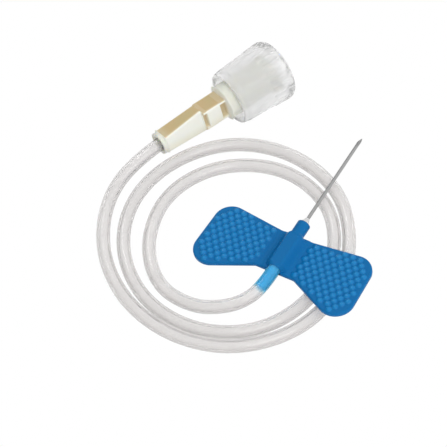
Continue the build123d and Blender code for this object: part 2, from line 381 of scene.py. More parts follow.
@dataclass(frozen=True)
class ClearPlastic:
    """Clear or faintly milky plastic, light bent through its walls."""

    name: str
    tint: Colour
    roughness: float
    transmission: float
    ior: float = 1.46
    grain_scale: float = 500.0
    grain_strength: float = 0.4
    grain_depth: float = 0.006 * MM

    def material(self) -> bpy.types.Material:
        """The plastic's material, with a faint unevenness from moulding or drawing."""
        build = NodeShader.named(self.name)
        build.bump(build.noise(self.grain_scale), self.grain_strength, self.grain_depth)
        build.set(
            Base_Color=(*self.tint, 1.0),
            Roughness=self.roughness,
            IOR=self.ior,
            Transmission_Weight=self.transmission,
        )
        return build.owner


@dataclass(frozen=True)
class SoftVinyl(ClearPlastic):
    """The tube's clear vinyl: blue where the hub's spigot fills its bore, with painted shade that
    makes it greyer on its flanks.
    """

    blue: Colour = (0.20, 0.76, 1.0)
    shaded_flank: Colour = (0.72, 0.71, 0.70)
    lit_crest: Colour = (1.0, 1.0, 1.0)

    def material(self) -> bpy.types.Material:
        """The clear plastic, tinted by the spigot under each place, and darker by painted shade the
        less it faces up.
        """
        build = NodeShader(super().material())
        tint = build.mix(build.attribute("over_spigot"), self.tint, self.blue)
        # Painted shade: darker on the flanks, where the surface faces sideways or down.
        shade = build.mix(build.attribute("level"), self.shaded_flank, self.lit_crest)
        build.drive("Base Color", build.mix(1.0, tint, shade, blend_type="MULTIPLY"))
        return build.owner


@dataclass(frozen=True)
class IvoryPlastic:
    """Translucent ivory moulding, with painted light and shade: tan as painted shade, near white as
    painted light.
    """

    lit_pale: Colour = (0.95, 0.96, 0.86)
    painted_shade: Colour = (0.69, 0.49, 0.27)
    olive: Colour = (0.60, 0.52, 0.28)
    roughness: float = 0.35
    grain_scale: float = 450.0
    grain_strength: float = 0.3
    grain_depth: float = 0.01 * MM
    cloud_scale: float = 330.0
    cloud_detail: float = 1.0
    clearest: float = 0.45
    ior: float = 1.3
    scatter: float = 0.3
    scatter_radius: Place = (1.0, 0.8, 0.5)
    scatter_reach: float = 0.6 * MM

    def material(self) -> bpy.types.Material:
        """The ivory plastic's material, its colour following the painted shade kept on the mesh."""
        build = NodeShader.named("ivory_plastic")
        build.bump(build.noise(self.grain_scale), self.grain_strength, self.grain_depth)
        tan = build.mix(build.noise(self.cloud_scale, self.cloud_detail), self.painted_shade, self.olive)
        # Painted shade and light: the depth attribute mixes the lit near white with the shaded tan,
        # which has random olive clouds.
        build.drive("Base Color", build.mix(build.attribute("depth"), self.lit_pale, tan))
        clear = build.spread(build.attribute("clear"), (0.0, self.clearest))
        build.drive("Transmission Weight", clear)
        build.set(
            Roughness=self.roughness,
            IOR=self.ior,
            Subsurface_Weight=self.scatter,
            Subsurface_Radius=self.scatter_radius,
            Subsurface_Scale=self.scatter_reach,
        )
        return build.owner


@dataclass(frozen=True)
class DrawnSteel:
    """Stainless tube, drawn and wiped: mid grey, with fine lines along it."""

    colour: Colour = (0.42, 0.42, 0.42)
    roughness: float = 0.28
    line_scale: float = 9000.0
    line_detail: float = 2.0
    line_stretch: Place = (1.0, 0.03, 1.0)
    line_strength: float = 0.25
    line_depth: float = 0.003 * MM

    def material(self) -> bpy.types.Material:
        """The steel's material: noise stretched along the cannula."""
        build = NodeShader.named("drawn_steel")
        lines = build.noise(self.line_scale, self.line_detail, self.line_stretch)
        build.bump(lines, self.line_strength, self.line_depth)
        build.set(Base_Color=(*self.colour, 1.0), Metallic=1.0, Roughness=self.roughness)
        return build.owner


@dataclass(frozen=True)
class Lamp:
    """A square soft lamp that faces the needle set."""

    name: str
    place: Place
    energy: float
    size: float

    def build(self) -> None:
        """Adds the lamp to the scene."""
        light = bpy.data.lights.new(self.name, "AREA")
        light.energy = self.energy
        light.size = self.size
        holder = bpy.data.objects.new(self.name, light)
        holder.location = self.place
        holder.rotation_euler = Vector(self.place).to_track_quat("Z", "Y").to_euler()
        bpy.context.scene.collection.objects.link(holder)


@dataclass
class Studio:
    """The pale floor, the soft light and the camera at the photograph's angle."""

    azimuth: float = 30.19
    elevation: float = 57.5
    distance: float = 450.0 * MM
    aim: Place = (-11.809 * MM, -11.402 * MM, 6.275 * MM)
    focal_pixels: float = 2528.0
    frame_pixels: float = 447.0
    sensor: float = 36.0
    nearest: float = 10.0 * MM
    floor_size: float = 6.0
    floor_colour: Colour = (0.9, 0.9, 0.9)
    floor_roughness: float = 0.9
    sky: Span = (0.8, 1.0)
    sky_reach: Span = (-0.1, 0.9)
    side: Span = (0.42, 1.0)
    side_reach: Span = (-0.8, 0.1)
    lamps: tuple[Lamp, ...] = (
        Lamp("key", (0.42, -0.22, 0.50), energy=0.8, size=0.35),
        Lamp("fill", (-0.40, 0.20, 0.60), energy=0.5, size=0.16),
    )

    def build(self) -> None:
        """Adds the camera, the world, the lamps and the floor."""
        self.camera()
        self.world()
        for lamp in self.lamps:
            lamp.build()
        self.floor()
        bpy.context.scene.view_settings.view_transform = "Standard"

    def camera(self) -> None:
        """A long lens, above and to the right of the needle set, aimed beside its middle."""
        around, above = np.radians(self.azimuth), np.radians(self.elevation)
        right = Vector((np.cos(around), np.sin(around), 0.0))
        level = np.cos(above)
        back = Vector((np.sin(around) * level, -np.cos(around) * level, np.sin(above)))
        up = back.cross(right)
        lens = bpy.data.cameras.new("camera")
        lens.sensor_width = self.sensor
        lens.lens = self.focal_pixels / self.frame_pixels * self.sensor
        lens.clip_start = self.nearest
        holder = bpy.data.objects.new("camera", lens)
        turn = Matrix((right, up, back)).transposed().to_4x4()
        holder.matrix_world = Matrix.Translation(Vector(self.aim) + self.distance * back) @ turn
        bpy.context.scene.collection.objects.link(holder)
        bpy.context.scene.camera = holder

    def world(self) -> None:
        """White to the camera and through clear plastic, and for light a sky greyer at the left."""
        world = bpy.data.worlds.new("studio")
        world.use_nodes = True
        bpy.context.scene.world = world
        background = world.node_tree.nodes["Background"]
        background.inputs["Color"].default_value = (1.0, 1.0, 1.0, 1.0)
        build = NodeShader(world)
        split = build.add("SeparateXYZ")
        build.link(build.add("TexCoord").outputs["Generated"], split.inputs["Vector"])
        height = build.spread(split.outputs["Z"], self.sky, self.sky_reach)
        side = build.spread(split.outputs["X"], self.side, self.side_reach)
        path = build.add("LightPath").outputs
        seen = build.math("MAXIMUM", build.math("MULTIPLY", height, side), path["Is Camera Ray"])
        seen = build.math("MAXIMUM", seen, path["Is Transmission Ray"])
        build.link(seen, background.inputs["Strength"])

    def floor(self) -> None:
        """A pale floor, white to the camera and through clear plastic, that keeps a faint shadow."""
        half = self.floor_size / 2
        mesh = bpy.data.meshes.new("floor")
        corners = [(-half, -half, 0.0), (half, -half, 0.0), (half, half, 0.0), (-half, half, 0.0)]
        mesh.from_pydata(corners, [], [(0, 1, 2, 3)])
        floor = bpy.data.objects.new("floor", mesh)
        bpy.context.scene.collection.objects.link(floor)
        build = NodeShader.named("floor")
        build.set(Base_Color=(*self.floor_colour, 1.0), Roughness=self.floor_roughness)
        path = build.add("LightPath").outputs
        seen = build.math("MAXIMUM", path["Is Camera Ray"], path["Is Glossy Ray"])
        seen = build.math("MAXIMUM", seen, path["Is Transmission Ray"])
        mixed = build.add("MixShader")
        build.link(seen, mixed.inputs["Fac"])
        build.link(build.shader.outputs["BSDF"], mixed.inputs[1])
        build.link(build.add("Emission").outputs["Emission"], mixed.inputs[2])
        output = build.owner.node_tree.nodes["Material Output"]
        build.link(mixed.outputs["Shader"], output.inputs["Surface"])
        mesh.materials.append(build.owner)


def hub_frame() -> AxisFrame:
    """The hub's own frame: u to the right wing, w up, v forward along the cannula."""
    low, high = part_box("cannula")
    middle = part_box("wing_hub")[1].y - NOSE_FRONT
    origin = np.array([(low.x + high.x) / 2, middle, (low.z + high.z) / 2])
    joints = [joint for joint in frame["joints"] if "pos_m" in joint]
    hinges = {joint["name"]: np.array(joint["pos_m"]) for joint in joints}
    span = hinges["right_fold"] - hinges["left_fold"]
    outward = span / np.linalg.norm(span)
    forward = np.array([0.0, 1.0, 0.0])
    return AxisFrame(origin, outward, np.cross(outward, forward), forward)


@dataclass
class Wing:
    """One swept wing with its pips, and the flat root that runs in under the saddle."""

    side: Side
    under: float = -1.25 * MM
    thickness: float = 0.9 * MM
    inner: float = -1.2 * MM
    neck: float = 3.9 * MM
    neck_front: float = 4.7 * MM
    neck_rear: float = -3.9 * MM
    front_corner: Span = (15.85 * MM, 6.1 * MM)
    front_radius: float = 3.3 * MM
    rear_corner: Span = (16.4 * MM, -9.75 * MM)
    rear_radius: float = 3.5 * MM
    top_edge: float = 0.34 * MM
    low_edge: float = 0.12 * MM
    fold: float = 3.1 * MM
    fold_depth: float = 0.12 * MM
    fold_half: float = 0.25 * MM
    fold_slope: float = 0.45 * MM
    fold_web: float = 0.45 * MM
    pip_radius: float = 0.64 * MM
    pip_height: float = 0.34 * MM
    pip_power: float = 0.7
    pip_pitch: float = 1.52 * MM
    pip_row: float = 0.96 * MM
    pip_start: float = 4.4 * MM
    pip_inner: dict[Side, float] = field(
        default_factory=lambda: {Side.LEFT: 4.3 * MM, Side.RIGHT: 3.5 * MM}
    )
    pip_border: float = 0.62 * MM
    stations: int = 270
    across: int = 130
    arc_points: int = 60

    def corner(
        self, before: Points, vertex: Points, after: Points, radius: float
    ) -> tuple[Points, Points, Points]:
        """The centre of a rounded corner and the two points where its arc meets the edges."""
        first = (before - vertex) / np.linalg.norm(before - vertex)
        second = (after - vertex) / np.linalg.norm(after - vertex)
        half = np.arccos(np.clip(first @ second, -1.0, 1.0)) / 2
        reach = radius / np.tan(half)
        middle = first + second
        centre = vertex + middle / np.linalg.norm(middle) * radius / np.sin(half)
        return centre, vertex + first * reach, vertex + second * reach

    def corners(self) -> list[tuple[Points, Points, Points, float]]:
        """Front and rear corner, each as centre, inner tangent point, outer tangent point, radius."""
        front, rear = np.array(self.front_corner), np.array(self.rear_corner)
        front_root = np.array([self.neck, self.neck_front])
        rear_root = np.array([self.neck, self.neck_rear])
        first = self.corner(front_root, front, rear, self.front_radius)
        second = self.corner(rear_root, rear, front, self.rear_radius)
        return [(*first, self.front_radius), (*second, self.rear_radius)]

    def edge_line(self, which: int, at: Points) -> Points:
        """Half of the wing's outline, from the root to the middle of its outer edge.

        Straight from the root to the corner's tangent point, round the corner's arc, and along
        the outer edge.

        Args:
            which: 0 for the leading edge, 1 for the trailing edge.
            at: shares of the half outline's length, from 0 to 1.

        Returns:
            The points of u and v.
        """
        corners = self.corners()
        centre, inner, outer, _ = corners[which]
        root = np.array([self.neck, (self.neck_front, self.neck_rear)[which]])
        start = np.array([self.inner, root[1]])
        middle = (outer + corners[1 - which][2]) / 2
        a, b = inner - centre, outer - centre
        swing = np.arctan2(a[0] * b[1] - a[1] * b[0], a @ b) * np.linspace(0.0, 1.0, self.arc_points)
        cosine, sine = np.cos(swing), np.sin(swing)
        arc = centre + np.stack([a[0] * cosine - a[1] * sine, a[0] * sine + a[1] * cosine], axis=-1)
        line = np.vstack([start, root, arc, middle])
        return sampled(line, at * travelled(line)[-1])

    def edge_distance(self, u: Points, v: Points) -> Points:
        """Distance of a point inside the outline from it: the least over its edges and its arcs."""
        front, rear = np.array(self.front_corner), np.array(self.rear_corner)
        beyond = np.maximum(u - self.neck, 0.0)
        front_slope = (front[1] - self.neck_front) / (front[0] - self.neck)
        rear_slope = (rear[1] - self.neck_rear) / (rear[0] - self.neck)
        lead = (self.neck_front + beyond * front_slope - v) / np.hypot(1.0, front_slope)
        trail = (v - self.neck_rear - beyond * rear_slope) / np.hypot(1.0, rear_slope)
        edge = (rear - front) / np.linalg.norm(rear - front)
        outer = edge[1] * (u - front[0]) - edge[0] * (v - front[1])
        distance = np.minimum(np.minimum(lead, trail), outer)
        for centre, inner, tangent, radius in self.corners():
            vertex = front if centre[1] > 0 else rear
            du, dv = u - centre[0], v - centre[1]
            along_inner = du * (vertex - inner)[0] + dv * (vertex - inner)[1]
            along_outer = du * (vertex - tangent)[0] + dv * (vertex - tangent)[1]
            inside = (along_inner > 0) & (along_outer > 0)
            distance = np.where(inside, radius - np.hypot(du, dv), distance)
        return np.maximum(distance, 0.0)

    def pips(self, u: Points, v: Points) -> Points:
        """The pips' relief, from 0 between them to 1 at their crowns.

        The pips stand on a lattice whose odd rows are shifted by half a pitch. Each is a soft
        dome: one less the squared distance over the radius squared, to a power. A pip is left
        out where its centre comes too near the wing's edge or its root, and the right wing has
        half a column more than the left.
        """
        relief = np.zeros_like(u)
        for parity in (0, 1):
            start = self.pip_start + parity * self.pip_pitch / 2
            column = np.round((u - start) / self.pip_pitch)
            low_v = self.rear_corner[1]
            row = 2 * np.round((v - low_v - parity * self.pip_row) / (2 * self.pip_row)) + parity
            centre_u = start + column * self.pip_pitch
            centre_v = low_v + row * self.pip_row
            beyond_root = centre_u > self.pip_inner[self.side]
            kept = (self.edge_distance(centre_u, centre_v) > self.pip_border) & beyond_root
            away = np.hypot(u - centre_u, v - centre_v) / self.pip_radius
            dome = np.clip(1.0 - away**2, 0.0, 1.0) ** self.pip_power
            relief = np.maximum(relief, np.where(kept, dome, 0.0))
        return relief

    def rounding(self, distance: Points, radius: float) -> Points:
        """How far a rounded edge falls below its face: a quarter circle of a radius."""
        short = np.clip(1.0 - distance / radius, 0.0, 1.0)
        return radius * (1.0 - np.sqrt(1.0 - short**2))

    def build(self, place: AxisFrame) -> bpy.types.Object:
        """The wing's skin, upper and lower face carried from the leading to the trailing edge.

        Args:
            place: the hub's own frame.

        Returns:
            The wing, with its relief kept as an attribute for the colour's painted highlight and
            shade.
        """
        along = np.sin(np.linspace(0.0, np.pi / 2, self.stations))
        lead, trail = self.edge_line(0, along), self.edge_line(1, along)
        cross = (0.5 - 0.5 * np.cos(np.linspace(0.0, np.pi, self.across)))[None, :, None]
        face = between(trail[:, None, :], lead[:, None, :], cross)
        u, v = face[..., 0], face[..., 1]
        distance = self.edge_distance(u, v)
        relief = self.pips(u, v)
        fold_end = self.fold_half + self.fold_slope
        fold = 1.0 - smoothstep(np.abs(u - self.fold), self.fold_half, fold_end)
        top = self.under + self.thickness - self.rounding(distance, self.top_edge)
        top = top - fold * self.fold_depth + relief * self.pip_height
        low = self.under + self.rounding(distance, self.low_edge)
        upper = np.stack([u * self.side.value, top, v], axis=-1)
        lower = np.stack([u * self.side.value, low, v], axis=-1)
        loops = np.concatenate([upper, lower[:, ::-1]], axis=1)
        name = f"{self.side.name.lower()}_wing_skin"
        wing = grid_object(name, place.world(loops))
        self.paint(wing, place)
        return wing

    def paint(self, wing: bpy.types.Object, place: AxisFrame) -> None:
        """Keeps the pips' relief on the mesh, worked out again from each vertex's own place."""
        local = vertex_values(wing.data, "co") - place.origin
        u = local @ place.across * self.side.value
        w = local @ place.up
        v = local @ place.along
        relief = np.where(w > self.under + self.thickness / 2, self.pips(u, v), 0.0)
        keep_values(wing.data, relief=relief)


@dataclass
class Saddle:
    """The broad low middle of the hub, with its round nose in front and the boss at its rear."""

    under: float = -1.22 * MM
    crown_width: float = 1.55 * MM
    flank_start: float = 0.62
    skirt: float = 2.62 * MM
    keel: float = 2.2 * MM
    foot: float = -0.46 * MM
    rise: float = 1.4 * MM
    bow: float = 0.16 * MM
    dip: float = 0.10 * MM
    round_radius: float = 1.25 * MM
    rear: float = -3.7 * MM
    rear_slope: float = 0.9 * MM
    front: float = 4.7 * MM
    front_slope: float = 1.0 * MM
    nose_lip: float = 0.05 * MM
    nose_round: float = 0.3
    bore_radius: float = 1.0 * MM
    bore_narrowing: float = 0.97
    bore_depth: float = 0.1 * MM
    around: int = 220
    stations: int = 150

    def section(self, angles: Points) -> Points:
        """Distance from the axis to the saddle's section, in each direction.

        The top is a low bow with a shallow dip in its middle, and each flank is a soft step that
        runs down from the crown's width to the skirt, where it meets the wing. Below the skirt
        the section closes under the wings' roots.
        """
        u = np.linspace(-self.skirt, self.skirt, 400)
        top = self.rise - self.bow * (u / self.crown_width) ** 2
        top = top - self.dip * bell(u, 0.0, self.crown_width)
        fall = smoothstep(np.abs(u), self.flank_start * self.crown_width, self.skirt)
        top = between(top, self.foot, fall)
        low_u = np.array([-self.keel, 0.0, self.keel])
        outline_u = np.concatenate([low_u, u[::-1]])
        outline_w = np.concatenate([np.full(3, self.under), top[::-1]])
        turns = np.mod(np.arctan2(outline_w, outline_u), 2 * np.pi)
        order = np.argsort(turns)
        reach = np.hypot(outline_u, outline_w)[order]
        return np.interp(np.mod(angles, 2 * np.pi), turns[order], reach, period=2 * np.pi)

    def build(self, place: AxisFrame) -> bpy.types.Object:
        """The saddle: a section round the cannula's axis that swells from boss to saddle to nose."""
        angles = ring(self.around)
        heights = np.linspace(self.rear, NOSE_FRONT - self.nose_lip, self.stations)
        swell = smoothstep(heights, self.rear, self.rear + self.rear_slope)
        fade = smoothstep(heights, self.front - self.front_slope, self.front)
        amount = (swell * (1.0 - fade))[:, None]
        radii = between(self.round_radius, self.section(angles)[None, :], amount)
        lip = self.nose_lip * self.nose_round
        nose = [
            (NOSE_FRONT - lip, self.round_radius - lip),
            (NOSE_FRONT, self.round_radius - self.nose_lip),
            (NOSE_FRONT, self.bore_radius),
            (NOSE_FRONT - self.bore_depth, self.bore_radius * self.bore_narrowing),
        ]
        nose_heights, nose_radii = np.array(nose).T
        radii = np.vstack([radii, nose_radii[:, None] * np.ones(self.around)])
        heights = np.concatenate([heights, nose_heights])
        return grid_object("saddle", turned(radii, heights, angles, place))


@dataclass
class Needle:
    """The steel cannula, ground to a point with one long face and two steeper ones."""

    outer: float = 0.32 * MM
    inner: float = 0.17 * MM
    bevel: float = 13.0
    lancet: float = 19.0
    lancet_turn: float = 32.0
    sharp_from: float = 40.0
    point_reach: float = 0.14 * MM
    around: int = 96
    stations: int = 40

    def ground(self, radius: float, angles: Points) -> Points:
        """How far behind the point the wall ends, in each direction: the most of three faces."""
        low = np.radians(self.bevel)
        steep = np.radians(self.lancet)
        turn = np.radians(self.lancet_turn)
        below = angles + np.pi / 2
        main = (self.outer - radius * np.cos(below)) / np.tan(low)
        left = (self.outer - radius * np.cos(below + turn)) / np.tan(steep)
        right = (self.outer - radius * np.cos(below - turn)) / np.tan(steep)
        return np.maximum(main, np.maximum(left, right))

    def build(self, place: AxisFrame, rear: float, point: float) -> bpy.types.Object:
        """The cannula from its rear end to its point.

        Args:
            place: the cannula's axis.
            rear: where its rear end is along the axis.
            point: where the three faces' common point is along the axis.

        Returns:
            The cannula, with its bore.
        """
        angles = ring(self.around)
        share = np.linspace(0.0, 1.0, self.stations)[:, None]
        outer_end = point - self.ground(self.outer, angles)
        inner_end = point - self.ground(self.inner, angles)
        outer = rear + (outer_end - rear) * share
        inner = rear + (inner_end - rear) * share[::-1]
        along = np.vstack([outer, inner])
        radii = np.repeat([self.outer, self.inner], self.stations)[:, None] * np.ones(self.around)
        local = np.stack([radii * np.cos(angles), radii * np.sin(angles), along], axis=-1)
        piece = grid_object("needle", place.world(local), wrap_rows=True)
        piece.data.set_sharp_from_angle(angle=np.radians(self.sharp_from))
        return piece


@dataclass
class Bead:
    """The clear bead of adhesive where the cannula leaves the nose."""

    base: float = 1.03 * MM
    tip: float = 0.345 * MM
    length: float = 1.4 * MM
    sunk: float = 0.08 * MM
    hollow: float = 1.25
    gap: float = 0.01 * MM
    around: int = 64
    stations: int = 24

    def build(self, place: AxisFrame) -> bpy.types.Object:
        """A waisted cone: its radius falls as a power of the share left to the tip."""
        share = np.linspace(0.0, 1.0, self.stations)
        heights = NOSE_FRONT + share * self.length
        radii = self.tip + (self.base - self.tip) * (1.0 - share) ** self.hollow
        base = [NOSE_FRONT - self.sunk]
        inner = np.full(self.stations + 1, self.tip - self.gap)
        all_heights = np.concatenate([base, heights, heights[::-1], base])
        all_radii = np.concatenate([[self.base], radii, inner])
        skin = turned(all_radii, all_heights, ring(self.around), place)
        return grid_object("bead", skin, wrap_rows=True)


@dataclass
class SoftTube:
    """The clear tube: a free hose from the hub's boss to the luer hub's socket.

    The route's points are in millimetres, from the surface under the hub's middle.
    """

    outer: float = 1.25 * MM
    inner: float = 0.75 * MM
    around: int = 48
    resolution: int = 16
    socket: float = 5.0 * MM
    lead: float = 4.2 * MM
    spigot: float = 0.757 * MM
    spigot_length: float = 4.9 * MM
    edge: float = 0.3 * MM
    end_round: float = 0.35 * MM
    end_flat: float = 0.9
    near: float = 1.2
    spigot_stations: int = 40
    route: tuple[Place, ...] = (
        (0.0, -3.7, 3.45), (0.0, -7.4, 3.45), (-1.1, -10.9, 2.75), (-3.9, -14.0, 1.9),
        (-9.4, -16.7, 1.25), (-17.2, -16.0, 1.25), (-23.6, -8.8, 1.25), (-25.7, 1.8, 1.25),
        (-20.5, 12.0, 1.25), (-10.0, 17.4, 1.25), (1.0, 14.9, 1.25), (7.6, 5.8, 1.25),
        (8.2, -5.8, 1.25), (2.9, -15.8, 1.25), (-7.1, -21.0, 1.25), (-18.4, -19.7, 1.25),
        (-27.1, -12.2, 1.25), (-30.6, -1.6, 1.25), (-28.0, 9.2, 1.25), (-20.6, 17.8, 1.25),
        (-9.9, 21.0, 1.25), (1.1, 18.3, 1.25), (8.5, 9.9, 1.25), (11.8, -1.5, 1.25),
        (9.1, -12.2, 1.25), (1.2, -20.6, 1.25), (-9.5, -23.8, 1.25), (-20.6, -21.7, 1.25),
        (-29.5, -14.7, 1.25), (-34.2, -4.7, 2.0),
    )

    def centre_line(self, hub: AxisFrame, luer: AxisFrame) -> Points:
        """The tube's middle line: a smooth spline with the route's points as its control points.

        Args:
            hub: the hub's frame, which the route is measured from.
            luer: the luer hub's axis, which the tube ends on.

        Returns:
            Points along the spline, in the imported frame.
        """
        base = np.array([hub.origin[0], hub.origin[1], 0.0])
        free = np.array(self.route) * MM + base
        ends = luer.world(np.array([[0.0, 0.0, -self.lead], [0.0, 0.0, self.socket]]))
        places = np.vstack([free, ends])
        curve = bpy.data.curves.new("tube_line", "CURVE")
        curve.dimensions = "3D"
        curve.resolution_u = self.resolution
        spline = curve.splines.new("NURBS")
        spline.points.add(len(places) - 1)
        weights = np.ones((len(places), 1))
        spline.points.foreach_set("co", np.hstack([places, weights]).ravel())
        spline.order_u = 3
        spline.use_endpoint_u = True
        holder = bpy.data.objects.new("tube_line", curve)
        bpy.context.scene.collection.objects.link(holder)
        bpy.context.view_layer.update()
        line = bpy.data.meshes.new_from_object(holder)
        points = vertex_values(line, "co")
        bpy.data.meshes.remove(line)
        bpy.data.objects.remove(holder)
        bpy.data.curves.remove(curve)
        return points

    def swept(self, line: Points, radii: Points) -> Points:
        """Rings round a line: each is square to it, and turned as little as the line lets it be.

        Args:
            line: points of the middle line.
            radii: one radius for each point.

        Returns:
            Array of points by ring by three.
        """
        tangents = np.gradient(line, axis=0)
        tangents /= np.linalg.norm(tangents, axis=1)[:, None]
        side = np.cross(tangents, np.array([0.0, 0.0, 1.0]))
        side /= np.linalg.norm(side, axis=1)[:, None]
        up = np.cross(side, tangents)
        angles = ring(self.around)[None, :, None]
        spokes = side[:, None, :] * np.cos(angles) + up[:, None, :] * np.sin(angles)
        return line[:, None, :] + spokes * radii[:, None, None]

    def build(self, line: Points) -> bpy.types.Object:
        """The tube's outer wall and its bore, joined at both ends."""
        count = len(line)
        outer = self.swept(line, np.full(count, self.outer))
        inner = self.swept(line, np.full(count, self.inner))[::-1]
        piece = grid_object("soft_tube", np.vstack([outer, inner]), wrap_rows=True)
        self.paint(piece, line)
        return piece

    def paint(self, piece: bpy.types.Object, line: Points) -> None:
        """Keeps on the mesh where the spigot lies under it, and how nearly each place faces up.

        The level is the upward part of the surface's normal, and is 1 all over the bore. It drives
        the painted shade on the tube's flanks.
        """
        mesh = piece.data
        away = travelled(line)
        near = line[away < 2 * self.spigot_length]
        gaps = np.linalg.norm(vertex_values(mesh, "co")[:, None] - near[None], axis=2)
        along = away[gaps.argmin(axis=1)]
        end = self.spigot_length
        over = 1.0 - smoothstep(along, end - self.edge, end + self.edge)
        over = np.where(gaps.min(axis=1) < self.near * self.outer, over, 0.0)
        # Painted shade: the level darkens the tube's colour on its flanks and underside.
        level = np.clip(vertex_values(mesh, "normal")[:, 2], 0.0, 1.0)
        level[len(line) * self.around:] = 1.0
        keep_values(mesh, over_spigot=over, level=level)

    def build_spigot(self, line: Points) -> bpy.types.Object:
        """The hub's blue spigot inside the tube's first stretch, rounded at its end."""
        at = np.linspace(0.0, self.spigot_length, self.spigot_stations)
        left = np.clip((self.spigot_length - at) / self.end_round, 0.0, 1.0)
        radii = self.spigot * np.sqrt(1.0 - (1.0 - left) ** 2 * self.end_flat)
        return grid_object("spigot", self.swept(sampled(line, at), radii))

@dataclass(frozen=True)
class IvoryPaintedShade:
    """Shares of painted shade on the luer hub's plastic, and where one gives way to the next.

    The faces are read from the sideways part of the surface's normal.
    """

    plain_face: Span = (0.3, 0.85)
    rim: float = 0.55
    rim_reach: float = 0.55 * MM
    rear: float = 0.7
    rear_reach: float = 3.0 * MM
    upper: float = 0.22
    pocketed_face: Span = (0.6, 0.9)
    upper_reach: Span = (0.3 * MM, 2.2 * MM)
    pocket: float = 0.85
    pocket_lip: float = 0.15 * MM
    barrel: float = 0.03
    barrel_edge: float = 0.3 * MM
    clear_shown: float = 0.3
    clear_edge: float = 0.5 * MM


